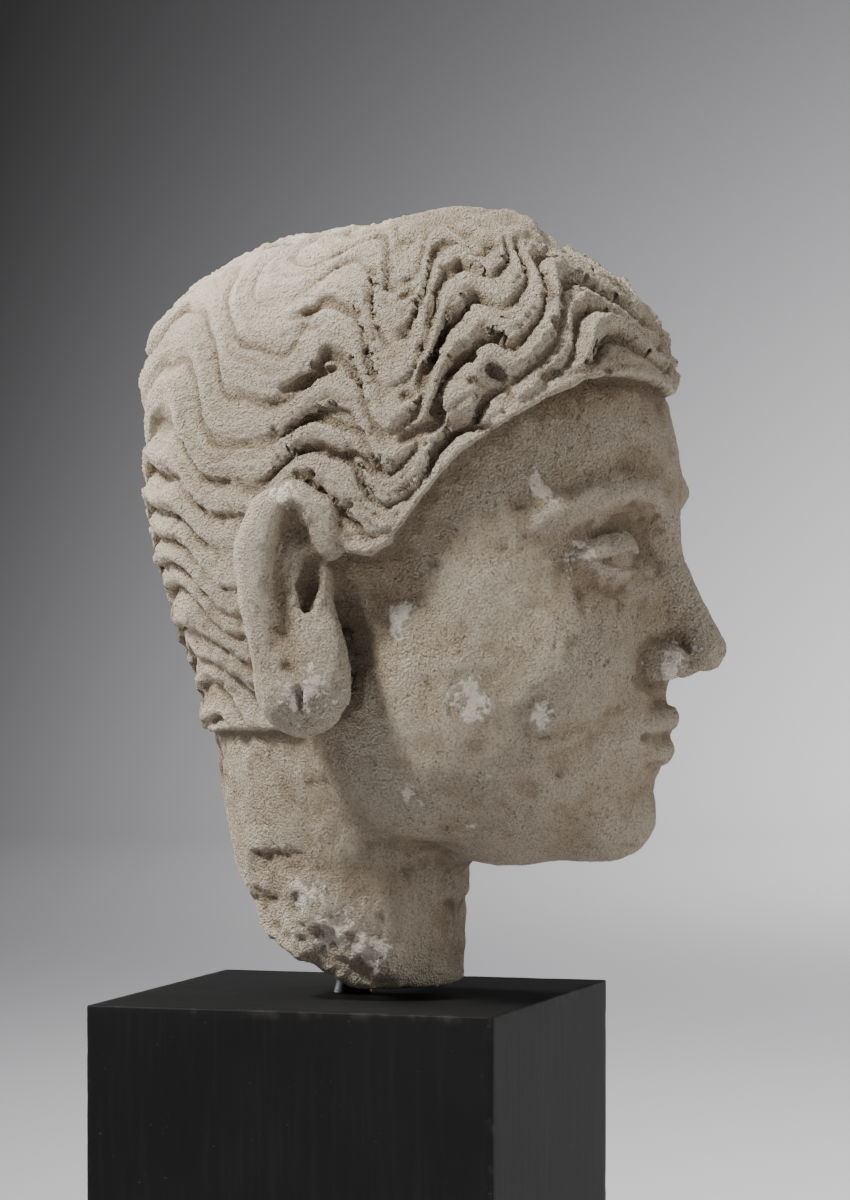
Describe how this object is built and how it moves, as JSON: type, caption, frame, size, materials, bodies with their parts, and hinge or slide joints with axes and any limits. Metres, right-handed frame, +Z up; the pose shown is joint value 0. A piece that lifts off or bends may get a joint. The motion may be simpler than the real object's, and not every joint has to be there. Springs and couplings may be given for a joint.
{
  "type": "stucco head of a buddha on a display stand",
  "caption": "Life-size stucco head of a buddha with wavy hair and a broken top-knot, held upright by a steel post in a black wooden block.",
  "frame": {"origin": "centre of the block's underside, on the surface the sculpture stands on", "axes": "+Z up, the face looks along -Y, +X is the head's own left"},
  "size_m": [0.1846, 0.2331, 0.4659],
  "materials": {
    "stucco": "matt, sandy and worn, with paler rubbed patches",
    "post_steel": "blackened, satin",
    "block_paint": "matt black paint with faint brush marks"
  },
  "bodies": {
    "root": {"head": "stucco", "mounting_post": "post_steel", "base_block": "block_paint"}
  },
  "joints": []
}
